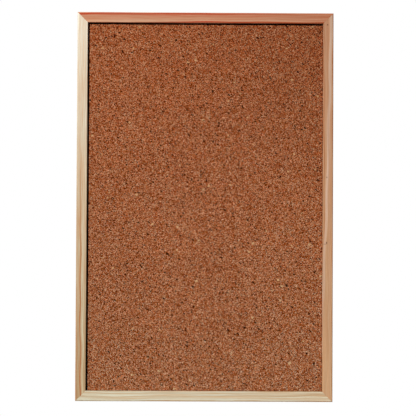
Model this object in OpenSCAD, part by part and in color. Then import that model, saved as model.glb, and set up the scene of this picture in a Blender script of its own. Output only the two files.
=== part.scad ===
// Upright cork notice board: a cork sheet on a soft core, held in a mitred pine frame.
// Millimetres. X runs across the board, Y from its face back to the wall, and Z up.
// The origin is the middle of the board on the plane of the wall, so the face looks along -Y.

/* [Frame] */
// Overall width of the board
board_w = 396; // [300:1:900]
// Overall height of the board
board_h = 600; // [450:1:1200]
// Width of the moulding's face
rail_w = 16; // [15:0.5:24]
// Depth of the moulding from front to back
rail_d = 15; // [14:0.5:24]
// Thickness of the lip in front of the rebate
lip_t = 6; // [5:0.5:7]
// Width of the rebate that holds the panels
rebate_w = 5; // [3:0.5:5]
// Radius of the moulding's outer front edge
outer_r = 1.8; // [0.6:0.1:3]
// Radius of the moulding's inner front edge
inner_r = 0.6; // [0.2:0.1:1.5]
// Radius of the moulding's outer back edge
back_r = 0.8; // [0.2:0.1:1.5]

/* [Panels] */
// Thickness of the cork sheet
cork_t = 3; // [2:0.5:4]
// Open joint left of the cork sheet and above it
cork_gap = 2.8; // [0.5:0.1:4]
// Clearance right of the cork sheet and below it
cork_fit = 0.1; // [0:0.05:0.5]
// Thickness of the soft core behind the cork
core_t = 4; // [3:0.5:5]
// Thickness of the hardboard back
back_t = 2.5; // [2:0.5:3]
// Clearance round the core and the back in the rebate
panel_fit = 0.5; // [0.2:0.1:1.5]

/* [Corner nails] */
// Height of a V-nail, which is how deep it goes
nail_h = 7; // [5:0.5:10]
// Length of each of a V-nail's two legs
nail_leg = 3.2; // [2:0.1:3.5]
// Thickness of a V-nail's steel
nail_t = 0.6; // [0.4:0.1:1]

/* [Retaining points] */
// Overall length of a point
point_l = 14; // [10:0.5:18]
// Width of a point
point_w = 5; // [3:0.5:8]
// Thickness of a point
point_t = 0.4; // [0.3:0.1:0.8]
// How far a point is driven into the wood
point_grip = 5; // [3:0.5:6]

/* [Hangers] */
// Height of the rings' pivots above the middle of the board
hanger_z = 180; // [60:1:190]
// Distance from the frame's outer edge to a hanger's centre line
hanger_inset = 6.4; // [6.2:0.1:8]
// Radius of the ring's wire
wire_r = 0.9; // [0.7:0.05:1]
// Length of the ring's straight legs
ring_leg = 5; // [4:0.5:6]
// Width of the strap
strap_w = 7; // [6:0.5:7]
// Thickness of the strap's steel
strap_t = 0.8; // [0.6:0.1:0.9]
// Distance from the pivot down to the screw
strap_screw = 14.5; // [14:0.5:18]
// Angle at which a free ring rests against its strap
ring_rest = 8; // [8:0.5:14]

/* [Bumpers] */
// Thickness of the bumpers, which is the gap between the frame and the wall
bumper_t = 4.5; // [4.5:0.5:8]
// Radius of a bumper
bumper_r = 5; // [3:0.5:5]
// Distance of a bumper's centre from the end of its stile
bumper_end = 30; // [20:1:60]

/* [Hidden] */
$fn = 64;

// Past a face that a cut has to clear
over = 1;

// Planes of the frame along Y
back_y = -bumper_t;
front_y = back_y - rail_d;
core_y = front_y + lip_t;
panel_y = core_y + core_t;
point_y = panel_y + back_t;

// The frame's opening and the flat land left behind the rebate
sight_w = board_w - 2 * rail_w;
sight_h = board_h - 2 * rail_w;
land_w = rail_w - rebate_w;
panel_w = sight_w + 2 * rebate_w - 2 * panel_fit;
panel_h = sight_h + 2 * rebate_w - 2 * panel_fit;

// How many retaining points each side has, and how far along the mitre each V-nail sits
points_across = 3;
points_up = 4;
point_tip = 2;
nail_places = [3, 7];

// Strap and ring: the eye is curled round the ring's bar and lies on the frame's back
pivot_fit = 0.05;
eye_bore_r = wire_r + pivot_fit;
eye_r = eye_bore_r + strap_t;
eye_mid_r = eye_bore_r + strap_t / 2;
leaf_gap = 0.1;
leaf_mid = 1.5 * strap_t + leaf_gap;
strap_top = 2 * strap_t + leaf_gap;
strap_end = strap_screw + strap_w / 2;
strap_lean = 45;
side_gap = 0.5;
ring_half = strap_w / 2 + side_gap + wire_r;
ring_bend = 1.2;

// Hanger screw
screw_r = 1.3;
screw_hole_r = 1.5;
screw_l = 11;
screw_tip = 2.5;
screw_head_r = 2.8;
screw_head_h = 1.7;
screw_dome_r = 3.6;
screw_slot_l = 3;
screw_slot_w = 0.7;
screw_slot_d = 1.1;

// Roundness of a bumper's outer edge, and its inset from the frame's outer edge
bumper_edge = 1.5;
bumper_inset = bumper_r + 0.6;

pine_pink = "#c58a6a";
pine_cream = "#d9c39d";
pine_tan = "#c2946f";
pine_pale = "#cfbd9b";
cork_brown = "#955a3a";
core_black = "#1d1a18";
board_brown = "#8a6443";
steel_grey = "#b9bcc0";
brass_grey = "#c9c2a6";
rubber_black = "#2c2b2a";

// --- Places -------------------------------------------------------------------------------

// A side of the frame is drawn along X, with its outer edge on Z = 0 and the board below it.
module on_top() {
    translate([0, 0, board_h / 2]) children();
}

module on_bottom() {
    rotate([0, 180, 0]) translate([0, 0, board_h / 2]) children();
}

module on_left() {
    rotate([0, -90, 0]) translate([0, 0, board_w / 2]) children();
}

module on_right() {
    rotate([0, 90, 0]) translate([0, 0, board_w / 2]) children();
}

// A corner is drawn as the top left one, with its outer point at the origin.
module at_corner(x_side, z_side) {
    upper_turn = x_side < 0 ? 0 : 90;
    lower_turn = x_side < 0 ? 270 : 180;
    turn = z_side > 0 ? upper_turn : lower_turn;
    translate([x_side * board_w / 2, 0, z_side * board_h / 2]) rotate([0, turn, 0]) children();
}

// A hanger is drawn with its foot on the plane Y = 0, standing out towards +Y, pivot above the origin.
module at_hanger(x_side) {
    translate([x_side * (board_w / 2 - hanger_inset), back_y, hanger_z]) children();
}

// --- Frame --------------------------------------------------------------------------------

// What a rounded edge of radius r takes off a square corner at the origin
module edge_cut(r) {
    difference() {
        translate([-over, -over]) square(r + over);
        translate([r, r]) circle(r);
    }
}

// Section of the moulding: X from the outer edge inwards, Y from the face backwards
module rail_section() {
    difference() {
        square([rail_w, rail_d]);
        translate([land_w, lip_t]) square([rebate_w + over, rail_d]);
        edge_cut(outer_r);
        translate([rail_w, 0]) mirror([1, 0]) edge_cut(inner_r);
        translate([0, rail_d]) mirror([0, 1]) edge_cut(back_r);
    }
}

// The wedge-ended outline that mitres a side of the given length
module mitre_block(length) {
    outline = [
        [-length / 2, 0],
        [length / 2, 0],
        [length / 2 - rail_w, -rail_w],
        [-length / 2 + rail_w, -rail_w],
    ];
    translate([0, back_y + over, 0]) rotate([90, 0, 0])
        linear_extrude(rail_d + 2 * over) polygon(outline);
}

// One V-nail, its bend on the mitre at the given distance from both outer edges
module v_nail(place) {
    y = back_y - nail_h;
    edge = place - nail_t / 2;
    leg = nail_leg + nail_t / 2;
    translate([edge, y, -place - nail_t / 2]) cube([leg, nail_h, nail_t]);
    translate([edge, y, -edge - leg]) cube([nail_t, nail_h, leg]);
}

module v_nails() {
    for (place = nail_places) v_nail(place);
}

// One retaining point on the back panel, its sharp end in the wall of the rebate
module retaining_point() {
    tip = land_w - point_grip;
    shoulder = tip + point_tip;
    tail = tip + point_l;
    outline = [
        [0, -tip],
        [point_w / 2, -shoulder],
        [point_w / 2, -tail],
        [-point_w / 2, -tail],
        [-point_w / 2, -shoulder],
    ];
    translate([0, point_y + point_t, 0]) rotate([90, 0, 0])
        linear_extrude(point_t) polygon(outline);
}

module retaining_points(length, count) {
    for (i = [0 : count - 1])
        translate([(i - (count - 1) / 2) * length / count, 0, 0]) retaining_point();
}

// One side of the frame, with the slots that its V-nails and retaining points have cut
module rail(length, count) {
    difference() {
        intersection() {
            translate([-length / 2, front_y, 0]) rotate([0, 90, 0])
                linear_extrude(length) rail_section();
            mitre_block(length);
        }
        translate([-length / 2, 0, 0]) v_nails();
        translate([length / 2, 0, 0]) rotate([0, 90, 0]) v_nails();
        retaining_points(length, count);
    }
}

module top_rail() {
    color(pine_pink) on_top() rail(board_w, points_across);
}

module bottom_rail() {
    color(pine_pale) on_bottom() rail(board_w, points_across);
}

module left_stile() {
    color(pine_cream) difference() {
        on_left() rail(board_h, points_up);
        at_hanger(-1) screw_shank();
    }
}

module right_stile() {
    color(pine_tan) difference() {
        on_right() rail(board_h, points_up);
        at_hanger(1) screw_shank();
    }
}

module corner_nails(x_side, z_side) {
    color(steel_grey) at_corner(x_side, z_side) v_nails();
}

module retaining_points_top() {
    color(steel_grey) on_top() retaining_points(board_w, points_across);
}

module retaining_points_bottom() {
    color(steel_grey) on_bottom() retaining_points(board_w, points_across);
}

module retaining_points_left() {
    color(steel_grey) on_left() retaining_points(board_h, points_up);
}

module retaining_points_right() {
    color(steel_grey) on_right() retaining_points(board_h, points_up);
}

// --- Panels -------------------------------------------------------------------------------

// The cork stops short of the frame on the left and at the top, which leaves an open joint there.
module cork_sheet() {
    width = sight_w - cork_gap - cork_fit;
    height = sight_h - cork_gap - cork_fit;
    color(cork_brown)
        translate([-sight_w / 2 + cork_gap, core_y - cork_t, -sight_h / 2 + cork_fit])
        cube([width, cork_t, height]);
}

module panel(y, thickness) {
    translate([-panel_w / 2, y, -panel_h / 2]) cube([panel_w, thickness, panel_h]);
}

module core_panel() {
    color(core_black) panel(core_y, core_t);
}

module back_panel() {
    color(board_brown) panel(panel_y, back_t);
}

// --- Hangers ------------------------------------------------------------------------------

// One straight run of the strap's steel, from the origin down
module strap_run(length) {
    translate([-strap_w / 2, -strap_t / 2, -length]) cube([strap_w, strap_t, length]);
}

// The folded strap: a leaf on the wood, the eye curled round the pivot, and a leaf back over the first
module folded_strap() {
    head_y = eye_r + eye_mid_r * cos(strap_lean);
    foot_z = -eye_mid_r * sin(strap_lean);
    drop_y = head_y - leaf_mid;
    bend_z = foot_z - drop_y / tan(strap_lean);
    knee = strap_t / 2 * tan(strap_lean / 2);
    difference() {
        union() {
            translate([0, eye_r, 0]) rotate([0, 90, 0]) cylinder(r = eye_r, h = strap_w, center = true);
            translate([0, strap_t / 2, 0]) strap_run(strap_end);
            translate([0, leaf_mid, bend_z + knee]) strap_run(strap_end + bend_z + knee);
            translate([0, head_y, foot_z]) rotate([-strap_lean, 0, 0])
                strap_run(drop_y / sin(strap_lean) + knee);
        }
        translate([0, eye_r, 0]) rotate([0, 90, 0])
            cylinder(r = eye_bore_r, h = strap_w + 2 * over, center = true);
    }
}

// Outline of the strap seen from behind, with its round lower end
module strap_outline() {
    translate([-strap_w / 2, -strap_screw]) square([strap_w, strap_screw + eye_r + over]);
    translate([0, -strap_screw]) circle(strap_w / 2);
}

module hanger_strap(x_side) {
    color(steel_grey) at_hanger(x_side) difference() {
        intersection() {
            folded_strap();
            translate([0, 2 * eye_r + over, 0]) rotate([90, 0, 0])
                linear_extrude(2 * eye_r + 2 * over) strap_outline();
        }
        translate([0, -over, -strap_screw]) rotate([-90, 0, 0])
            cylinder(r = screw_hole_r, h = strap_top + 2 * over);
    }
}

// The D-ring hanging straight down from its bar, which lies on the X axis
module d_ring() {
    bar = 2 * (ring_half - ring_bend);
    rotate([0, 90, 0]) cylinder(r = wire_r, h = bar, center = true);
    for (side = [-1, 1]) {
        translate([side * ring_half, 0, -ring_leg]) cylinder(r = wire_r, h = ring_leg - ring_bend);
        translate([side * (ring_half - ring_bend), 0, -ring_bend])
            rotate([90, side > 0 ? 0 : -90, 0])
            rotate_extrude(angle = 90) translate([ring_bend, 0]) circle(wire_r);
    }
    translate([0, 0, -ring_leg]) rotate([-90, 0, 0])
        rotate_extrude(angle = 180) translate([ring_half, 0]) circle(wire_r);
}

module hanger_ring(x_side) {
    color(steel_grey) at_hanger(x_side) translate([0, eye_r, 0]) rotate([ring_rest, 0, 0]) d_ring();
}

// The part of the hanger screw inside the wood, which is also the hole it makes
module screw_shank() {
    translate([0, 0, -strap_screw]) rotate([90, 0, 0]) {
        cylinder(r = screw_r, h = screw_l - screw_tip);
        translate([0, 0, screw_l - screw_tip]) cylinder(r1 = screw_r, r2 = 0, h = screw_tip);
    }
}

module screw_head() {
    difference() {
        intersection() {
            cylinder(r = screw_head_r, h = screw_head_h);
            translate([0, 0, screw_head_h - screw_dome_r]) sphere(screw_dome_r);
        }
        for (turn = [0, 90])
            rotate([0, 0, turn + 20]) translate([0, 0, screw_head_h - screw_slot_d / 2 + over / 2])
                cube([screw_slot_l, screw_slot_w, screw_slot_d + over], center = true);
    }
}

module hanger_screw(x_side) {
    color(brass_grey) at_hanger(x_side) {
        screw_shank();
        translate([0, 0, -strap_screw]) rotate([-90, 0, 0]) {
            cylinder(r = screw_r, h = strap_top);
            translate([0, 0, strap_top]) screw_head();
        }
    }
}

// --- Bumpers ------------------------------------------------------------------------------

module bumper_section() {
    difference() {
        square([bumper_r, bumper_t]);
        translate([bumper_r, bumper_t]) rotate(180) edge_cut(bumper_edge);
    }
}

module bumper(x_side, z_side) {
    x = x_side * (board_w / 2 - bumper_inset);
    z = z_side * (board_h / 2 - bumper_end);
    color(rubber_black) translate([x, back_y, z]) rotate([-90, 0, 0])
        rotate_extrude() bumper_section();
}

top_rail();
bottom_rail();
left_stile();
right_stile();
cork_sheet();
core_panel();
back_panel();
corner_nails(-1, 1);  // corner_nails_top_left
corner_nails(1, 1);  // corner_nails_top_right
corner_nails(-1, -1);  // corner_nails_bottom_left
corner_nails(1, -1);  // corner_nails_bottom_right
retaining_points_top();
retaining_points_bottom();
retaining_points_left();
retaining_points_right();
hanger_strap(-1);  // hanger_strap_left
hanger_strap(1);  // hanger_strap_right
hanger_ring(-1);  // hanger_ring_left
hanger_ring(1);  // hanger_ring_right
hanger_screw(-1);  // hanger_screw_left
hanger_screw(1);  // hanger_screw_right
bumper(-1, 1);  // bumper_top_left
bumper(1, 1);  // bumper_top_right
bumper(-1, -1);  // bumper_bottom_left
bumper(1, -1);  // bumper_bottom_right
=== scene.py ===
"""An upright cork notice board in a mitred pine frame, with its hangers and bumpers on the back."""

import math

import bmesh
import bpy
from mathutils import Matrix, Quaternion, Vector, noise


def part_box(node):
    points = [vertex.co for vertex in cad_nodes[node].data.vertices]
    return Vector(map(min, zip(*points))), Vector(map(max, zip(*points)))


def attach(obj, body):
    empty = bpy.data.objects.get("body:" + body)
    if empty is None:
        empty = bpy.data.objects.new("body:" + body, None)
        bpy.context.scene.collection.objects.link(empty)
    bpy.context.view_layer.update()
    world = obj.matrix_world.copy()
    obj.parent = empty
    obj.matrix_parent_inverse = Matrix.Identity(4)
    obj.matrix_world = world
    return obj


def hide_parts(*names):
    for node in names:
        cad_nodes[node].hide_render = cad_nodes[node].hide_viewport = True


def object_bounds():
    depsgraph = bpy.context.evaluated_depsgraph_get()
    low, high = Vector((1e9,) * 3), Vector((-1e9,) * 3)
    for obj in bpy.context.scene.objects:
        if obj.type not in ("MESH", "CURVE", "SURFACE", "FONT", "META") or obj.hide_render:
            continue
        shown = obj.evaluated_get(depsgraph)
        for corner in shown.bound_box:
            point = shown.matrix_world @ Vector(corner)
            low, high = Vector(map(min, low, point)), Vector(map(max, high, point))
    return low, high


MM = 0.001

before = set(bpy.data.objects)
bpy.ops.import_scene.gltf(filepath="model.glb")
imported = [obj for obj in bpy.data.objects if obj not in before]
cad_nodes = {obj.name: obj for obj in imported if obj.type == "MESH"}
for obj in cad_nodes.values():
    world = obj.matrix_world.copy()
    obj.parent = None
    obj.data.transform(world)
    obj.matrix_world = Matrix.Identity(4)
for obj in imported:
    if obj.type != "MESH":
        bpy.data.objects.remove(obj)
cad_low, cad_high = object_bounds()

# --- Measures taken from the frame ---------------------------------------------------------

left_low, left_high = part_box("left_stile")
core_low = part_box("core_panel")[0]
cork_low, cork_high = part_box("cork_sheet")
top_low, top_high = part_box("top_rail")
board_w = top_high.x - top_low.x
board_h = left_high.z - left_low.z
rail_w = left_high.x - left_low.x
front_y = left_low.y
back_y = left_high.y
lip_back_y = core_low.y
# The core lies in the rebate with this much room at each side.
CORE_ROOM = 0.5 * MM
land_w = core_low.x - left_low.x - CORE_ROOM


# --- Node trees ----------------------------------------------------------------------------

class Nodes:
    """Short calls that add nodes to a material's or a modifier's tree."""

    def __init__(self, tree):
        self.tree = tree
        self.tree.nodes.clear()

    def add(self, kind, inputs=None, **settings):
        made = self.tree.nodes.new(kind)
        for name, value in settings.items():
            setattr(made, name, value)
        for key, value in (inputs or {}).items():
            self.feed(made.inputs[key], value)
        return made

    def feed(self, socket, value):
        if isinstance(value, bpy.types.NodeSocket):
            self.tree.links.new(value, socket)
        else:
            socket.default_value = value

    def math(self, operation, a, b=0.0, c=0.0, clamp=False):
        made = self.add("ShaderNodeMath", {0: a, 1: b, 2: c}, operation=operation, use_clamp=clamp)
        return made.outputs[0]

    def plus(self, a, b):
        return self.math("ADD", a, b)

    def minus(self, a, b):
        return self.math("SUBTRACT", a, b)

    def times(self, a, b):
        return self.math("MULTIPLY", a, b)

    def vector(self, operation, a, b=(0.0, 0.0, 0.0)):
        made = self.add("ShaderNodeVectorMath", {0: a, 1: b}, operation=operation)
        return made.outputs["Vector"]

    def scaled(self, a, factor):
        made = self.add("ShaderNodeVectorMath", {0: a, "Scale": factor}, operation="SCALE")
        return made.outputs["Vector"]

    def parts(self, vector):
        return self.add("ShaderNodeSeparateXYZ", {0: vector}).outputs

    def joined(self, x, y, z):
        return self.add("ShaderNodeCombineXYZ", {0: x, 1: y, 2: z}).outputs[0]

    def span(self, value, low, high, to_low=0.0, to_high=1.0, smooth=True):
        """The value carried from low..high to to_low..to_high, held at the ends."""
        kind = "SMOOTHSTEP" if smooth else "LINEAR"
        made = self.add("ShaderNodeMapRange", {0: value, 1: low, 2: high, 3: to_low, 4: to_high},
                        interpolation_type=kind)
        return made.outputs[0]

    def blend(self, factor, a, b, mode="MIX"):
        """Two colours mixed."""
        made = self.add("ShaderNodeMix", {0: factor, 6: a, 7: b}, data_type="RGBA", blend_type=mode)
        return made.outputs[2]

    def tinted(self, colour, by):
        """A colour multiplied by another."""
        return self.blend(1.0, colour, by, "MULTIPLY")

    def shaded(self, colour, level):
        """A colour multiplied by a number."""
        return self.tinted(colour, self.joined(level, level, level))

    def lerp(self, factor, a, b):
        """Two numbers mixed."""
        return self.add("ShaderNodeMix", {0: factor, 2: a, 3: b}, data_type="FLOAT").outputs[0]

    def ramp(self, value, stops):
        made = self.add("ShaderNodeValToRGB", {0: value})
        elements = made.color_ramp.elements
        while len(elements) < len(stops):
            elements.new(1.0)
        for element, (place, colour) in zip(elements, stops):
            element.position = place
            element.color = colour
        return made.outputs[0]

    def noise(self, vector, scale, detail=2.0, roughness=0.5, colour=False):
        made = self.add("ShaderNodeTexNoise", {"Vector": vector, "Scale": scale, "Detail": detail,
                                               "Roughness": roughness})
        return made.outputs[1 if colour else 0]

    def cells(self, vector, size, feature="F1"):
        made = self.add("ShaderNodeTexVoronoi", {"Vector": vector, "Scale": 1.0 / size}, feature=feature)
        return made.outputs


def rgb(text):
    """A linear colour from the sRGB hex that a colour picker shows."""
    values = [int(text[i:i + 2], 16) / 255 for i in (1, 3, 5)]
    linear = [v / 12.92 if v <= 0.04045 else ((v + 0.055) / 1.055) ** 2.4 for v in values]
    return (*linear, 1.0)


def new_look(name):
    material = bpy.data.materials.new(name)
    material.use_nodes = True
    return material, Nodes(material.node_tree)


def object_mm(nodes):
    """The point's place in the board's own frame, in millimetres."""
    place = nodes.add("ShaderNodeTexCoord").outputs["Object"]
    return nodes.scaled(place, 1.0 / MM)


def finish_look(nodes, colour, roughness, height=None, relief=0.1, strength=1.0, **fixed):
    """Joins the shader. relief is the bump's depth in mm; fixed are the shader's own constants."""
    shader = nodes.add("ShaderNodeBsdfPrincipled")
    nodes.feed(shader.inputs["Base Color"], colour)
    nodes.feed(shader.inputs["Roughness"], roughness)
    for name, value in fixed.items():
        shader.inputs[name.replace("_", " ")].default_value = value
    if height is not None:
        bump = nodes.add("ShaderNodeBump", {"Height": height, "Distance": relief * MM, "Strength": strength})
        nodes.feed(shader.inputs["Normal"], bump.outputs[0])
    out = nodes.add("ShaderNodeOutputMaterial")
    nodes.feed(out.inputs[0], shader.outputs[0])


# --- Meshes --------------------------------------------------------------------------------

def to_object(bm, name):
    mesh = bpy.data.meshes.new(name)
    bm.to_mesh(mesh)
    bm.free()
    made = bpy.data.objects.new(name, mesh)
    bpy.context.scene.collection.objects.link(made)
    return made


def dress(piece, material, smooth=True):
    piece.data.materials.clear()
    piece.data.materials.append(material)
    for face in piece.data.polygons:
        face.use_smooth = smooth


def sharpen(piece, degrees=35):
    """Smooth shading that stays crisp at edges sharper than the angle."""
    bm = bmesh.new()
    bm.from_mesh(piece.data)
    for edge in bm.edges:
        if len(edge.link_faces) == 2 and edge.calc_face_angle(0.0) > math.radians(degrees):
            edge.smooth = False
    bm.to_mesh(piece.data)
    bm.free()


def arc(cx, cy, radius, start, end, count):
    """Points on an arc from one angle to another, in degrees."""
    turns = [math.radians(start + (end - start) * i / count) for i in range(count + 1)]
    return [(cx + radius * math.cos(t), cy + radius * math.sin(t)) for t in turns]


def line(start, end, step):
    """Points between two places, with neither end."""
    count = max(1, round(math.dist(start, end) / step))
    return [(start[0] + (end[0] - start[0]) * i / count, start[1] + (end[1] - start[1]) * i / count)
            for i in range(1, count)]


def gridded_sheet(name, low, high, step, face_y):
    """A closed sheet whose side at face_y is a grid of cells of about the step; the rest of it is plain."""
    bm = bmesh.new()
    size = high - low
    far_y = low.y + high.y - face_y
    columns, rows = round(size.x / step), round(size.z / step)
    face = [[bm.verts.new((low.x + size.x * i / columns, face_y, low.z + size.z * j / rows))
             for j in range(rows + 1)] for i in range(columns + 1)]
    for i in range(columns):
        for j in range(rows):
            bm.faces.new((face[i][j], face[i + 1][j], face[i + 1][j + 1], face[i][j + 1]))
    rim = [face[i][0] for i in range(columns)] + [face[-1][j] for j in range(rows)]
    rim += [face[i][-1] for i in range(columns, 0, -1)] + [face[0][j] for j in range(rows, 0, -1)]
    far = [bm.verts.new((vert.co.x, far_y, vert.co.z)) for vert in rim]
    centre = bm.verts.new(((low.x + high.x) / 2, far_y, (low.z + high.z) / 2))
    for here, after, far_here, far_after in zip(rim, rim[1:] + rim[:1], far, far[1:] + far[:1]):
        bm.faces.new((here, far_here, far_after, after))
        bm.faces.new((far_here, centre, far_after))
    bmesh.ops.recalc_face_normals(bm, faces=bm.faces)
    return to_object(bm, name)


def lathe(name, profile, x, z, turns=64):
    """A solid of revolution about a line along +Y. profile runs as (radius, y) between two points on it."""
    bm = bmesh.new()
    rings = []
    for radius, y in profile[1:-1]:
        rings.append([bm.verts.new((x + radius * math.cos(t), y, z + radius * math.sin(t)))
                      for t in [math.tau * i / turns for i in range(turns)]])
    first, last = [bm.verts.new((x, y, z)) for _, y in (profile[0], profile[-1])]
    for i in range(turns):
        k = (i + 1) % turns
        bm.faces.new((first, rings[0][i], rings[0][k]))
        bm.faces.new((last, rings[-1][k], rings[-1][i]))
        for here, after in zip(rings, rings[1:]):
            bm.faces.new((here[i], after[i], after[k], here[k]))
    bmesh.ops.recalc_face_normals(bm, faces=bm.faces)
    return to_object(bm, name)


# --- Pine ----------------------------------------------------------------------------------

# Each side of the frame is cut from another stick of pine:
#   along    the axis that its length follows
#   outer    the side of the board that it is on, -1 or 1
#   seed     where its wood lies in the noises
#   wander   how far its rings stray, as a part of WANDER
#   wave     the rings' regular swing: mm to each side, mm from crest to crest, mm along it of one crest
#   rings    how strong its growth rings are
#   lean     how strongly its bands lean towards green and orange
#   early, late, pale   the tones of its light wood, its dark late-wood lines and its palest streaks, each at
#            the stick's low end, its middle and its high end
#   lines, streaks      each line of late wood and each pale streak: its distance in mm from the outer edge
#            at the same three places, its width in mm, and its strength at the three places. The first line
#            of the right stile and of the bottom rail is partly painted shade on the outer edge.
STICKS = {
    "left_stile": {
        "along": "z", "outer": -1, "seed": 3.0, "wander": 0.85, "wave": (0.5, 76.0, 5.0),
        "rings": 0.6, "lean": 1.1,
        # Its tones grow much paler from its low end to its top.
        "early": ["#b7a27d", "#d0bb9c", "#e9dcc6"],
        "late": ["#a95f2c", "#b27440", "#dab38a"],
        "pale": ["#cdc2a2", "#dfd2b6", "#f6eedc"],
        "lines": [((7.4, 5.9, 4.4), 2.2, (0.85, 0.7, 0.15)), ((13.2, 12.4, 11.0), 1.4, (0.25, 0.25, 0.2)),
                  ((15.2, 15.4, 16.0), 1.0, (0.5, 0.3, 0.1)), ((0.6, 0.2, 0.0), 2.6, (0.6, 0.3, 0.0)),
                  ((3.9, 9.0, 9.0), 0.9, (0.4, 0.3, 0.3))],
        "streaks": [((10.0, 9.0, 1.6), 3.0, (0.8, 0.3, 0.6)), ((2.2, 12.0, 15.6), 1.4, (0.0, 0.2, 0.6))],
    },
    "right_stile": {
        "along": "z", "outer": 1, "seed": 11.0, "wander": 0.5, "wave": (0.6, 98.0, 24.0),
        "rings": 0.4, "lean": 0.7,
        "early": ["#c69e79", "#c0936f", "#bf9171"],
        "late": ["#a97041", "#a6683c", "#9b5930"],
        "pale": ["#d5b496", "#d0af98", "#c7ab95"],
        # The first line, along the outer edge, is partly late wood and partly painted shade where the
        # rounded edge turns from the light.
        "lines": [((0.2, 0.4, 0.5), 1.5, (0.7, 0.85, 1.0)), ((7.0, 5.0, 9.6), 2.4, (0.1, 0.25, 0.4)),
                  ((15.4, 13.4, 15.0), 1.6, (0.4, 0.5, 0.8)), ((4.0, 14.5, 12.0), 1.0, (0.25, 0.2, 0.4))],
        "streaks": [((20.9, 9.6, 3.2), 2.6, (1.0, 1.0, 0.9)), ((5.0, 5.4, 2.4), 1.5, (0.2, 0.2, 0.3))],
    },
    "top_rail": {
        "along": "x", "outer": 1, "seed": 23.0, "wander": 0.7, "wave": (0.3, 120.0, 30.0),
        "rings": 0.6, "lean": 1.3,
        "early": ["#cd9775", "#c69272", "#b87e60"],
        "late": ["#b63600", "#b23400", "#a54a1c"],
        "pale": ["#dbac8c", "#d0a384", "#c08f72"],
        "lines": [((1.9, 1.5, 1.2), 2.5, (1.0, 1.0, 0.35)), ((17.5, 14.0, 14.2), 1.9, (0.0, 1.0, 0.9)),
                  ((8.6, 9.6, 10.4), 1.0, (0.2, 0.15, 0.1)), ((5.0, 5.6, 6.0), 0.9, (0.3, 0.2, 0.2))],
        "streaks": [((0.0, 0.0, 0.0), 1.4, (1.0, 0.8, 0.5)), ((14.4, 12.4, 12.0), 1.6, (0.9, 0.5, 0.3))],
    },
    "bottom_rail": {
        "along": "x", "outer": -1, "seed": 37.0, "wander": 1.1, "wave": (0.2, 90.0, 0.0),
        "rings": 0.7, "lean": 1.1,
        "early": ["#d3ceb6", "#d5ccb4", "#d3c4a8"],
        "late": ["#bc956a", "#b98e60", "#b38557"],
        "pale": ["#dee0cb", "#dedcc7", "#dbd1b8"],
        # The first line, along the outer edge, is partly late wood and partly painted shade where the
        # rounded edge turns from the light.
        "lines": [((0.2, 0.2, 0.2), 1.9, (0.7, 0.75, 0.8)), ((6.6, 7.6, 8.8), 1.7, (0.6, 0.6, 0.65)),
                  ((12.4, 11.8, 11.2), 1.4, (0.6, 0.55, 0.6)), ((15.8, 15.7, 15.6), 0.9, (0.6, 0.6, 0.9)),
                  ((4.6, 4.9, 5.2), 0.8, (0.2, 0.25, 0.3))],
        "streaks": [((3.0, 3.2, 3.4), 1.8, (0.8, 0.8, 0.7)), ((9.6, 9.8, 13.4), 1.6, (0.9, 0.9, 0.6))],
    },
}

# Pin knots in the right stile's face, and the crack that runs from one of them to the inner edge: mm from
# the outer edge, mm below the board's top, half-width, half-length along the grain, strength
PIN_KNOTS = [(9.3, 18.0, 0.8, 0.9, 0.85), (9.8, 254.0, 0.5, 1.1, 0.8), (9.8, 355.0, 0.6, 1.5, 0.95),
             (12.6, 357.0, 2.9, 0.5, 0.45)]

# The width in mm that the rings stray over along a stick, and how they bow behind its face
WANDER = 5.0
BOW, BOW_POWER = 0.055, 1.6
# A line of late wood fades in over this part of its width; a pale streak fades in over all of it.
LATE_LEAD, PALE_LEAD = 0.45, 1.0
# Where along a stick its three tones are reached
TONE_PLACES = (0.04, 0.5, 0.96)
# How much red, green and blue a band gains where it leans to green, and loses where it leans to orange
GREEN_GAINS = (0.02, 0.07, 0.09)
ORANGE_LOSSES = (0.05, 0.14, 0.22)


def stick_axes(nodes, stick):
    """(mm from the outer edge, mm behind the face, mm along the stick, 0..1 along it)."""
    x, y, z = nodes.parts(object_mm(nodes))[:3]
    upright = stick["along"] == "z"
    across, along = (x, z) if upright else (z, x)
    half_board = (board_w if upright else board_h) / 2 / MM
    length = (board_h if upright else board_w) / MM
    inward = nodes.math("MULTIPLY_ADD", across, -stick["outer"], half_board)
    behind = nodes.minus(y, front_y / MM)
    part = nodes.math("MULTIPLY_ADD", along, 1.0 / length, 0.5, clamp=True)
    return inward, behind, along, part


def over_length(nodes, part, three):
    """A number that runs through three values along the stick."""
    low, middle, high = three
    first = nodes.span(part, 0.0, 0.5, low, middle, smooth=False)
    return nodes.plus(first, nodes.span(part, 0.5, 1.0, 0.0, high - middle, smooth=False))


def grain_lines(nodes, lines, ring, part, lead):
    """The lines' summed strength. Each fades in over lead widths on its outer side, and out on its inner."""
    total = 0.0
    for places, width, strengths in lines:
        past = nodes.minus(ring, over_length(nodes, part, places))
        rise = nodes.span(past, -lead * width, 0.0)
        fall = nodes.span(past, 0.5 * width, 1.25 * width, 1.0, 0.0)
        strength = nodes.times(nodes.times(rise, fall), over_length(nodes, part, strengths))
        total = nodes.math("ADD", strength, total, clamp=True)
    return total


def ring_place(nodes, stick, inward, behind, along):
    """Where a point lies across the rings, in mm: they bow through the stick's depth, stray and swing."""
    bow = nodes.times(nodes.math("POWER", nodes.math("ABSOLUTE", behind), BOW_POWER), BOW)
    slow_place = nodes.joined(nodes.times(inward, 0.02), stick["seed"], nodes.times(along, 0.011))
    wander = nodes.minus(nodes.noise(slow_place, 1.0, 3.0), 0.5)
    ring = nodes.math("MULTIPLY_ADD", wander, WANDER * stick["wander"], nodes.plus(inward, bow))
    swing, length, crest = stick["wave"]
    turn = nodes.times(nodes.minus(along, crest), math.tau / length)
    return nodes.math("MULTIPLY_ADD", nodes.math("COSINE", turn), -swing, ring)


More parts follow.
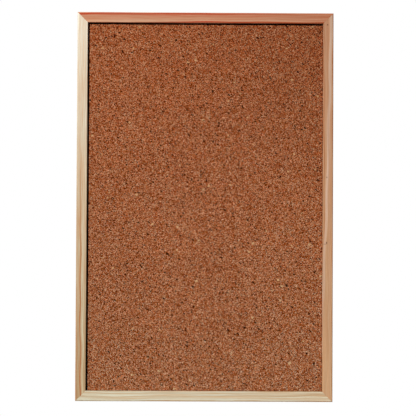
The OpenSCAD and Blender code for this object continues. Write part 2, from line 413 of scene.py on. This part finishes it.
def growth_rings(nodes, stick, ring, coarse):
    """The late wood of the rings: each turns slowly darker and ends in a thin sharp line."""
    uneven_place = nodes.joined(nodes.times(ring, 0.35), stick["seed"] + 5.0, 0.0)
    uneven = nodes.noise(uneven_place, 1.0, 1.0)
    phase = nodes.math("FRACT", nodes.math("MULTIPLY_ADD", uneven, 2.6, nodes.times(ring, 0.42)))
    year = nodes.times(nodes.span(phase, 0.35, 0.9), nodes.span(phase, 0.9, 0.98, 1.0, 0.0))
    return nodes.times(year, nodes.span(coarse, 0.3, 0.65, 0.3 * stick["rings"], stick["rings"]))


def banded(nodes, stick, colour, ring, behind, along):
    """Bands a millimetre or two wide lean towards green or towards orange, and run out along the grain."""
    band_place = nodes.joined(nodes.times(ring, 0.62), nodes.times(behind, 0.3),
                              nodes.math("MULTIPLY_ADD", along, 0.013, stick["seed"]))
    band = nodes.span(nodes.noise(band_place, 1.0, 4.0, 0.72), 0.36, 0.64)
    factors = [nodes.span(band, 0.0, 1.0, 1.0 + gain * stick["lean"], 1.0 - loss * stick["lean"])
               for gain, loss in zip(GREEN_GAINS, ORANGE_LOSSES)]
    return nodes.tinted(colour, nodes.joined(*factors))


def pin_knots(nodes, colour, inward, behind, along):
    knot = 0.0
    for from_edge, below, half_w, half_l, strength in PIN_KNOTS:
        across = nodes.math("DIVIDE", nodes.minus(inward, from_edge), half_w)
        down = nodes.math("DIVIDE", nodes.minus(along, board_h / 2 / MM - below), half_l)
        away = nodes.plus(nodes.times(across, across), nodes.times(down, down))
        on_face = nodes.span(behind, 2.0, 4.0, 1.0, 0.0)
        knot = nodes.math("MAXIMUM", nodes.times(nodes.span(away, 0.4, 2.2, strength, 0.0), on_face), knot)
    return nodes.blend(knot, colour, rgb("#4a2614"))


def pine_look(name, stick):
    material, nodes = new_look(name)
    inward, behind, along, part = stick_axes(nodes, stick)
    ring = ring_place(nodes, stick, inward, behind, along)

    def tone(hexes):
        return nodes.ramp(part, [(place, rgb(text)) for place, text in zip(TONE_PLACES, hexes)])

    # Fibres: long thin streaks, and coarser ones that change the tone over a few millimetres
    fibre_place = nodes.joined(ring, nodes.plus(behind, stick["seed"]), nodes.times(along, 0.022))
    fine = nodes.noise(fibre_place, 3.4, 3.0, 0.65)
    coarse = nodes.noise(fibre_place, 0.6, 2.0, 0.5)
    # Late wood; the outer-edge lines of the right stile and the bottom rail are partly painted shade.
    late = grain_lines(nodes, stick["lines"], ring, part, LATE_LEAD)
    late = nodes.times(late, nodes.span(coarse, 0.25, 0.55, 0.7, 1.0))
    # The lines are set for the face, so they are fainter on the sides.
    late = nodes.times(late, nodes.span(behind, 1.5, 5.0, 1.0, 0.6))
    late = nodes.math("MAXIMUM", late, growth_rings(nodes, stick, ring, coarse))
    pale = grain_lines(nodes, stick["streaks"], ring, part, PALE_LEAD)
    colour = nodes.blend(pale, tone(stick["early"]), tone(stick["pale"]))
    colour = nodes.blend(late, colour, tone(stick["late"]))
    colour = nodes.shaded(colour, nodes.span(coarse, 0.3, 0.7, 0.9, 1.07, smooth=False))
    colour = banded(nodes, stick, colour, ring, behind, along)
    shade = nodes.span(fine, 0.3, 0.7, 0.9, 1.06, smooth=False)
    warm = nodes.joined(nodes.math("POWER", shade, 0.6), shade, nodes.math("POWER", shade, 1.4))
    colour = nodes.tinted(colour, warm)
    # Resin canals: short, fine, darker dashes along the grain
    dash_place = nodes.joined(nodes.times(ring, 1.6), nodes.times(behind, 1.6), nodes.times(along, 0.14))
    dash = nodes.span(nodes.cells(dash_place, 1.0)["Distance"], 0.04, 0.13, 0.4, 0.0)
    colour = nodes.blend(dash, colour, tone(stick["late"]))
    if name == "pine_right":
        colour = pin_knots(nodes, colour, inward, behind, along)
    height = nodes.minus(nodes.math("MULTIPLY_ADD", late, 0.5, nodes.times(fine, 0.6)), dash)
    roughness = nodes.span(nodes.plus(late, fine), 0.3, 1.5, 0.58, 0.46, smooth=False)
    finish_look(nodes, colour, roughness, height, relief=0.06, strength=0.6, Specular_IOR_Level=0.14)
    return material


# --- Frame sticks --------------------------------------------------------------------------

OUTER_R = 1.8 * MM
INNER_R = 0.6 * MM
BACK_R = 0.8 * MM
REBATE_R = 0.25 * MM
# Distances between the mesh's points round the section and along the stick
SECTION_STEP = 2.2 * MM
LENGTH_STEP = 2.5 * MM
# How far the edges of the mitres are eased, and how far from flat planing and sanding left the faces
MITRE_EASE = 0.2 * MM
UNEVEN = 0.05 * MM
# Bumps to a metre of that unevenness, along the stick and across it
UNEVEN_ALONG, UNEVEN_ACROSS = 22.0, 130.0


def stick_section():
    """The moulding's section as (inwards, backwards) points, anticlockwise from the outer front edge."""
    depth, lip = back_y - front_y, lip_back_y - front_y
    corners = [
        arc(OUTER_R, OUTER_R, OUTER_R, 180, 270, 6),
        arc(rail_w - INNER_R, INNER_R, INNER_R, 270, 360, 4),
        arc(rail_w - REBATE_R, lip - REBATE_R, REBATE_R, 0, 90, 2),
        [(land_w, lip)],
        arc(land_w - REBATE_R, depth - REBATE_R, REBATE_R, 0, 90, 2),
        arc(BACK_R, depth - BACK_R, BACK_R, 90, 180, 4),
    ]
    points = []
    for here, after in zip(corners, corners[1:] + corners[:1]):
        points += here + line(here[-1], after[0], SECTION_STEP)
    return points


def make_stick(node, stick):
    """One mitred side, slightly uneven from planing and sanding, with the edges of its mitres eased."""
    section = stick_section()
    count = len(section)
    centre = Vector((sum(p[0] for p in section) / count, sum(p[1] for p in section) / count))
    upright = stick["along"] == "z"
    half = (board_h if upright else board_w) / 2
    half_across = (board_w if upright else board_h) / 2
    stations = round(2 * half / LENGTH_STEP)
    bm = bmesh.new()
    rows = []
    # The first and the last row are the mitres themselves, inside their eased edges.
    for i in range(-1, stations + 2):
        end = i in (-1, stations + 1)
        part = min(max(i / stations, 0.0), 1.0) * 2.0 - 1.0
        row = []
        for u, v in section:
            out = (Vector((u, v)) - centre).normalized()
            pull = MITRE_EASE if end else 0.0
            spot = Vector((part * half * UNEVEN_ALONG, u * UNEVEN_ACROSS + stick["seed"], v * UNEVEN_ACROSS))
            dent = UNEVEN * noise.noise(spot)
            inward, behind = u + out.x * (dent - pull), v + out.y * (dent - pull)
            along = part * (half - inward - (0.0 if end else MITRE_EASE))
            across = stick["outer"] * (half_across - inward)
            y = front_y + behind
            row.append(bm.verts.new((across, y, along) if upright else (along, y, across)))
        rows.append(row)
    for low, high in zip(rows, rows[1:]):
        for j in range(count):
            k = (j + 1) % count
            bm.faces.new((low[j], low[k], high[k], high[j]))
    bm.faces.new(rows[0])
    bm.faces.new(rows[-1])
    bmesh.ops.recalc_face_normals(bm, faces=bm.faces)
    piece = to_object(bm, node + "_planed")
    slot = "pine_" + node.split("_")[0]
    dress(piece, pine_look(slot, stick))
    sharpen(piece)
    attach(piece, "board")
    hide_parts(node)


# --- Cork ----------------------------------------------------------------------------------

# Sizes in mm of the ground cork's granules: coarse ones, fine ones between them and a few large pale flakes,
# and of the near-black bark among them, in crumbs and in a few larger chips
COARSE_GRAIN = 1.3
FINE_GRAIN = 0.85
FLAKE = 3.0
BARK = 1.2
BARK_CHIP = 2.3
# The chips are this many times longer and narrower than a plain granule, and slope down to the right by this
# many degrees.
CHIP_STRETCH = 1.3
CHIP_SLANT = 35.0
# The width in mm that the granules are bent over, out of their plain shape
GRAIN_WARP = 1.5
# In mm: how far the tallest granules stand above the lowest, how much deeper the bark lies, and how deep the
# lowest granules lie below the CAD's front
GRAIN_RELIEF, BARK_RELIEF, RELIEF_DROP = 0.22, 0.2, 0.16
CORK_STEP, QUICK_CORK_STEP = 1.5 * MM, 4 * MM

WHITE = (1.0, 1.0, 1.0, 1.0)


def chip_draw(nodes, bent):
    """A random number for each of the cells that some bark chips fill."""
    x, y, z = nodes.parts(bent)[:3]
    slant = math.radians(-CHIP_SLANT)
    along = nodes.plus(nodes.times(x, math.cos(slant)), nodes.times(z, math.sin(slant)))
    across = nodes.minus(nodes.times(z, math.cos(slant)), nodes.times(x, math.sin(slant)))
    place = nodes.joined(nodes.math("DIVIDE", along, CHIP_STRETCH), y, nodes.times(across, CHIP_STRETCH))
    return nodes.parts(nodes.cells(place, BARK_CHIP)["Color"])[0]


def cork_pattern(nodes, place):
    """The pressed granules at a place in mm, for the material and for the sheet's relief alike."""
    warp = nodes.vector("SUBTRACT", nodes.noise(place, 0.7, 2.0, colour=True), (0.5, 0.5, 0.5))
    bent = nodes.vector("ADD", place, nodes.scaled(warp, GRAIN_WARP))
    coarse = nodes.cells(bent, COARSE_GRAIN)
    fine = nodes.cells(bent, FINE_GRAIN)
    coarse_gap = nodes.cells(bent, COARSE_GRAIN, "DISTANCE_TO_EDGE")["Distance"]
    fine_gap = nodes.cells(bent, FINE_GRAIN, "DISTANCE_TO_EDGE")["Distance"]
    is_fine = nodes.span(nodes.noise(place, 0.4, 1.0), 0.40, 0.46)
    coarse_draw = nodes.parts(coarse["Color"])
    fine_draw = nodes.parts(fine["Color"])
    flake_draw = nodes.parts(nodes.cells(bent, FLAKE)["Color"])[0]
    bark_draw = nodes.parts(nodes.cells(bent, BARK)["Color"])[0]
    crumbs = nodes.span(bark_draw, 0.958, 0.963)
    chips = nodes.span(chip_draw(nodes, bent), 0.987, 0.988)
    return {
        "tone": nodes.lerp(is_fine, coarse_draw[0], fine_draw[0]),
        "hue": nodes.lerp(is_fine, coarse_draw[1], fine_draw[1]),
        "flake": nodes.span(flake_draw, 0.9965, 0.9975),
        "gap": nodes.lerp(is_fine, nodes.times(coarse_gap, COARSE_GRAIN), nodes.times(fine_gap, FINE_GRAIN)),
        "bark": nodes.math("MAXIMUM", crumbs, chips),
    }


def cork_look():
    material, nodes = new_look("cork")
    place = object_mm(nodes)
    grain = cork_pattern(nodes, place)
    crumb = nodes.noise(place, 1.5, 3.0, 0.7)
    tone = nodes.math("MULTIPLY_ADD", nodes.minus(crumb, 0.5), 0.9, grain["tone"])
    tone = nodes.math("MULTIPLY_ADD", tone, 1.06, -0.02)
    colour = nodes.ramp(tone, [(0.0, rgb("#3c0c00")), (0.24, rgb("#7a2e00")), (0.5, rgb("#a5582a")),
                               (0.78, rgb("#bd7e5b")), (1.0, rgb("#d2a892"))])
    # Some granules are redder or greener than the rest.
    colour = nodes.tinted(colour, nodes.ramp(grain["hue"], [(0.1, (1.08, 0.76, 0.6, 1.0)), (0.4, WHITE),
                                                            (0.6, WHITE), (0.9, (0.9, 1.2, 1.28, 1.0))]))
    flaked = nodes.blend(nodes.span(crumb, 0.35, 0.65), rgb("#a98660"), rgb("#d9bd98"))
    colour = nodes.blend(nodes.times(grain["flake"], 0.72), colour, flaked)
    joint = nodes.span(grain["gap"], 0.0, 0.16, 0.5, 0.0)
    colour = nodes.blend(nodes.times(joint, nodes.minus(1.0, grain["flake"])), colour, rgb("#331200"))
    bark = nodes.blend(crumb, rgb("#050000"), rgb("#2c1007"))
    colour = nodes.blend(nodes.times(grain["bark"], 0.96), colour, bark)
    # The mix is a little patchy over some centimetres; painted shade makes it darker towards the top right
    # corner, away from the light.
    patch = nodes.span(nodes.noise(place, 0.011, 3.0, 0.6), 0.3, 0.7, 1.05, 1.11, smooth=False)
    x, _, z = nodes.parts(place)[:3]
    corner = nodes.times(nodes.span(x, -120.0, 180.0), nodes.span(z, -60.0, 290.0))
    colour = nodes.shaded(colour, nodes.minus(patch, nodes.times(corner, 0.2)))
    # It turns from yellower at the bottom to redder at the top.
    up_board = nodes.span(z, -280.0, 280.0, 0.0, 1.0, smooth=False)
    colour = nodes.tinted(colour, nodes.ramp(up_board, [(0.0, (1.0, 1.045, 0.95, 1.0)),
                                                        (1.0, (1.02, 0.845, 0.65, 1.0))]))
    height = nodes.plus(nodes.span(grain["gap"], 0.0, 0.3), nodes.times(crumb, 0.8))
    height = nodes.math("MULTIPLY_ADD", grain["tone"], 0.5, height)
    height = nodes.minus(height, nodes.times(grain["bark"], 0.6))
    finish_look(nodes, colour, nodes.span(crumb, 0.3, 0.7, 0.9, 0.78), height, relief=0.16, strength=0.7,
                Specular_IOR_Level=0.06)
    return material


def cork_relief(piece):
    """Moves the sheet's front in and out with its granules, then keeps the result as the piece's mesh."""
    tree = bpy.data.node_groups.new("cork_relief", "GeometryNodeTree")
    nodes = Nodes(tree)
    tree.interface.new_socket("Geometry", in_out="INPUT", socket_type="NodeSocketGeometry")
    tree.interface.new_socket("Geometry", in_out="OUTPUT", socket_type="NodeSocketGeometry")
    given = nodes.add("NodeGroupInput")
    place = nodes.scaled(nodes.add("GeometryNodeInputPosition").outputs[0], 1.0 / MM)
    grain = cork_pattern(nodes, place)
    y = nodes.parts(place)[1]
    at_front = nodes.span(y, cork_low.y / MM, cork_low.y / MM + 1.0, 1.0, 0.0)
    rise = nodes.math("MULTIPLY_ADD", grain["tone"], GRAIN_RELIEF, -RELIEF_DROP)
    rise = nodes.math("MULTIPLY_ADD", grain["bark"], -BARK_RELIEF, rise)
    move = nodes.times(nodes.times(rise, at_front), -MM)
    moved = nodes.add("GeometryNodeSetPosition", {"Geometry": given.outputs[0],
                                                  "Offset": nodes.joined(0.0, move, 0.0)})
    out = nodes.add("NodeGroupOutput")
    nodes.feed(out.inputs[0], moved.outputs[0])
    piece.modifiers.new("relief", "NODES").node_group = tree
    bpy.context.view_layer.update()
    shaped = piece.evaluated_get(bpy.context.evaluated_depsgraph_get())
    flat, piece.data = piece.data, bpy.data.meshes.new_from_object(shaped)
    piece.modifiers.clear()
    bpy.data.meshes.remove(flat)


def make_cork():
    step = CORK_STEP
    sheet = gridded_sheet("cork_sheet_grained", cork_low, cork_high, step, face_y=cork_low.y)
    cork_relief(sheet)
    dress(sheet, cork_look())
    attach(sheet, "board")
    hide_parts("cork_sheet")


# --- Back panel and core -------------------------------------------------------------------

PANEL_STEP = 3 * MM
# How far the hardboard's faint waves reach, how many lie in a metre, and how far its sawn edges are eased
COCKLE, COCKLES = 0.06 * MM, 24.0
PANEL_EASE = 0.3 * MM
# Points closer than this to a plane or an edge lie on it.
TOUCH = 0.01 * MM
# Pitch in mm of the wire screen that the hardboard was pressed on
SCREEN_PITCH = 1.9


def hardboard_look():
    """Brown hardboard, its back printed with the wire screen."""
    material, nodes = new_look("hardboard")
    place = object_mm(nodes)
    x, _, z = nodes.parts(place)[:3]
    fibres = nodes.noise(place, 0.9, 5.0, 0.65)
    patch = nodes.noise(place, 0.015, 3.0, 0.55)
    colour = nodes.ramp(fibres, [(0.25, rgb("#5f4029")), (0.5, rgb("#7c5738")), (0.75, rgb("#946c49"))])
    colour = nodes.shaded(colour, nodes.span(patch, 0.3, 0.7, 0.9, 1.08, smooth=False))
    turn = math.tau / SCREEN_PITCH
    screen = nodes.times(nodes.math("SINE", nodes.times(x, turn)), nodes.math("SINE", nodes.times(z, turn)))
    colour = nodes.blend(nodes.span(screen, -0.4, 0.9, 0.0, 0.28), colour, rgb("#432c1b"))
    height = nodes.math("MULTIPLY_ADD", fibres, 0.7, nodes.times(screen, -0.8))
    finish_look(nodes, colour, nodes.span(fibres, 0.3, 0.7, 0.62, 0.5), height, relief=0.12,
                Specular_IOR_Level=0.35)
    return material


def make_back_panel():
    """The hardboard that closes the back: very slightly cockled, with its sawn edges eased."""
    low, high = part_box("back_panel")
    panel = gridded_sheet("back_panel_pressed", low, high, PANEL_STEP, face_y=high.y)
    for vert in panel.data.vertices:
        if vert.co.y < high.y - TOUCH:
            continue
        to_edge = min(vert.co.x - low.x, high.x - vert.co.x, vert.co.z - low.z, high.z - vert.co.z)
        ease = PANEL_EASE if to_edge < TOUCH else 0.0
        vert.co.y -= COCKLE * (1.0 + noise.noise(vert.co * COCKLES)) + ease
    dress(panel, hardboard_look())
    sharpen(panel)
    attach(panel, "board")
    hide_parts("back_panel")


def softboard_painted_shade_look():
    """The fibreboard core, seen only down the open joint round the cork, painted near-black as the shade in
    that joint.
    """
    material, nodes = new_look("softboard")
    place = object_mm(nodes)
    fibres = nodes.noise(place, 1.6, 5.0, 0.7)
    # Painted shade: near-black, so that the joint reads as a black line of shadow.
    colour = nodes.ramp(fibres, [(0.3, rgb("#060504")), (0.7, rgb("#0f0c0a"))])
    finish_look(nodes, colour, nodes.span(fibres, 0.3, 0.7, 0.98, 0.9), fibres, relief=0.25,
                Specular_IOR_Level=0.05)
    return material


# --- Bumpers -------------------------------------------------------------------------------

SHOULDER_R = 1.5 * MM
FOOT_R = 0.3 * MM
DIMPLE_R = 1.1 * MM
DIMPLE_DEEP = 0.5 * MM
# Radii, as parts of the bumper's own, of the extra rings in its foot and in its face
FOOT_RING, FACE_RING = 0.5, 0.45


def rubber_look():
    material, nodes = new_look("bumper_rubber")
    place = object_mm(nodes)
    grain = nodes.noise(place, 3.5, 4.0, 0.7)
    dust = nodes.noise(place, 0.6, 3.0, 0.6)
    colour = nodes.blend(nodes.span(dust, 0.45, 0.75, 0.0, 0.5), rgb("#242322"), rgb("#4a4743"))
    finish_look(nodes, colour, nodes.span(grain, 0.3, 0.7, 0.85, 0.68), grain, relief=0.08,
                Specular_IOR_Level=0.4)
    return material


def make_bumper(node, material):
    """A moulded rubber bumper with a round shoulder, and a gate dimple in the middle of its flat face."""
    low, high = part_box(node)
    radius = (high.x - low.x) / 2
    profile = [(0.0, low.y), (radius * FOOT_RING, low.y)]
    profile += arc(radius - FOOT_R, low.y + FOOT_R, FOOT_R, -90, 0, 4)
    profile += arc(radius - SHOULDER_R, high.y - SHOULDER_R, SHOULDER_R, 0, 90, 10)
    profile += [(radius * FACE_RING, high.y)]
    profile += [(DIMPLE_R * math.cos(t), high.y - DIMPLE_DEEP * math.sin(t))
                for t in [math.radians(15 * i) for i in range(6)]]
    profile += [(0.0, high.y - DIMPLE_DEEP)]
    piece = lathe(node + "_moulded", profile, (low.x + high.x) / 2, (low.z + high.z) / 2)
    dress(piece, material)
    sharpen(piece)
    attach(piece, "board")
    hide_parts(node)


# --- Hardware ------------------------------------------------------------------------------

# How much rougher and smoother than the rest the steel's drawing lines are
LINE_ROUGHNESS = 0.12


def steel_look(name, tint, deep, dull=0.38):
    """Steel, bare or plated: fine drawing lines, a little cloudy, with duller spots."""
    material, nodes = new_look(name)
    place = object_mm(nodes)
    stretched = nodes.vector("MULTIPLY", place, (3.0, 3.0, 0.35))
    lines = nodes.noise(stretched, 2.2, 3.0, 0.6)
    cloud = nodes.noise(place, 0.45, 3.0, 0.6)
    spots = nodes.noise(place, 1.7, 2.0, 0.5)
    colour = nodes.blend(nodes.span(cloud, 0.35, 0.7), rgb(tint), rgb(deep))
    colour = nodes.blend(nodes.span(spots, 0.62, 0.7, 0.0, 0.5), colour, rgb("#4b4a47"))
    roughness = nodes.plus(nodes.span(lines, 0.3, 0.7, dull - LINE_ROUGHNESS, dull + LINE_ROUGHNESS),
                           nodes.span(spots, 0.6, 0.72, 0.0, 0.2))
    finish_look(nodes, colour, roughness, lines, relief=0.02, strength=0.5, Metallic=1.0)
    return material


def dress_cad(material, *starts):
    """Gives the material to each CAD node whose name starts with one of the words."""
    for name, node in cad_nodes.items():
        if name.startswith(starts):
            for slot in node.material_slots:
                slot.material = material


def dress_hardware():
    bare = steel_look("bare_steel", "#9ea1a4", "#7f8285", dull=0.45)
    zinc = steel_look("zinc_steel", "#c3c7cb", "#a3a9ae")
    yellow = steel_look("yellow_zinc", "#cdb477", "#b79a86", dull=0.3)
    dress_cad(bare, "corner_nails", "retaining_points")
    dress_cad(zinc, "hanger_strap", "hanger_ring")
    dress_cad(yellow, "hanger_screw")
    dress_cad(softboard_painted_shade_look(), "core_panel")


# --- Stage ---------------------------------------------------------------------------------

LENS = 85.0
SENSOR_W = 36.0
# Where the camera stands before the board's face, and what it aims at there, from the board's middle: to the
# right and up. It rolls by this many degrees.
CAMERA_AWAY = 1513.7 * MM
CAMERA_RIGHT, CAMERA_UP = -2.4 * MM, -23.6 * MM
AIM_RIGHT, AIM_UP = 5.0 * MM, -2.2 * MM
CAMERA_ROLL = 0.28


def make_camera():
    """Straight on, a little below the middle and a hair to the left, with a hand-held shot's slight roll."""
    camera = bpy.data.objects.new("camera", bpy.data.cameras.new("camera"))
    bpy.context.scene.collection.objects.link(camera)
    camera.data.lens = LENS
    camera.data.sensor_width = SENSOR_W
    middle = (cad_low + cad_high) / 2
    camera.location = (middle.x + CAMERA_RIGHT, front_y - CAMERA_AWAY, middle.z + CAMERA_UP)
    aim = Vector((middle.x + AIM_RIGHT, front_y, middle.z + AIM_UP))
    roll = Quaternion((0.0, 0.0, 1.0), math.radians(CAMERA_ROLL))
    camera.rotation_mode = "QUATERNION"
    camera.rotation_quaternion = (aim - camera.location).to_track_quat("-Z", "Y") @ roll
    bpy.context.scene.camera = camera


def make_sun(name, towards, energy, softness):
    """A distant light. towards points from the board to it, and softness is its width in degrees."""
    lamp = bpy.data.lights.new(name, "SUN")
    lamp.energy = energy
    lamp.angle = math.radians(softness)
    holder = bpy.data.objects.new(name, lamp)
    holder.rotation_mode = "QUATERNION"
    holder.rotation_quaternion = Vector(towards).to_track_quat("Z", "Y")
    bpy.context.scene.collection.objects.link(holder)


def make_world(towards, dim, bright, behind):
    """White all round to the camera. To the board, soft light, brightest from towards."""
    world = bpy.data.worlds.new("studio")
    world.use_nodes = True
    bpy.context.scene.world = world
    nodes = Nodes(world.node_tree)
    direction = nodes.add("ShaderNodeTexCoord").outputs["Generated"]
    facing = nodes.add("ShaderNodeVectorMath", {0: direction, 1: Vector(towards)},
                       operation="DOT_PRODUCT").outputs["Value"]
    level = nodes.span(facing, -0.45, 1.0, dim, bright)
    # Soft light from behind, for the board's back and its shaded edges
    level = nodes.math("MAXIMUM", level, nodes.span(nodes.parts(direction)[1], 0.0, 0.5, 0.0, behind))
    seen = nodes.add("ShaderNodeBackground", {"Color": WHITE, "Strength": 1.0})
    lit = nodes.add("ShaderNodeBackground", {"Color": WHITE, "Strength": level})
    to_camera = nodes.add("ShaderNodeLightPath").outputs["Is Camera Ray"]
    mixed = nodes.add("ShaderNodeMixShader", {0: to_camera, 1: lit.outputs[0], 2: seen.outputs[0]})
    out = nodes.add("ShaderNodeOutputWorld")
    nodes.feed(out.inputs[0], mixed.outputs[0])


def make_floor(drop, radius):
    """A pale floor well below the board, which hangs. It throws no light back up onto the board."""
    bm = bmesh.new()
    bmesh.ops.create_circle(bm, cap_ends=True, segments=96, radius=radius)
    floor = to_object(bm, "floor")
    floor.location = (0.0, 0.0, cad_low.z - drop)
    floor.visible_diffuse = False
    material, nodes = new_look("floor_white")
    place = object_mm(nodes)
    level = nodes.span(nodes.noise(place, 0.004, 2.0), 0.3, 0.7, 0.88, 0.92)
    finish_look(nodes, nodes.joined(level, level, level), 0.8, Emission_Color=WHITE, Emission_Strength=0.35)
    dress(floor, material, smooth=False)


make_camera()
make_world(towards=(-0.6, -0.45, 0.66), dim=0.03, bright=0.85, behind=0.7)
make_sun("key", towards=(-0.45, -0.80, 0.40), energy=2.3, softness=6.0)
make_sun("back_fill", towards=(-0.35, 0.85, 0.40), energy=1.3, softness=8.0)
make_sun("side_fill", towards=(0.90, 0.30, 0.25), energy=1.4, softness=10.0)
make_floor(drop=0.45, radius=1.5)
bpy.context.scene.view_settings.view_transform = "Standard"

make_cork()
for stick_name, stick_data in STICKS.items():
    make_stick(stick_name, stick_data)
rubber = rubber_look()
for node_name in [name for name in cad_nodes if name.startswith("bumper")]:
    make_bumper(node_name, rubber)
make_back_panel()
dress_hardware()
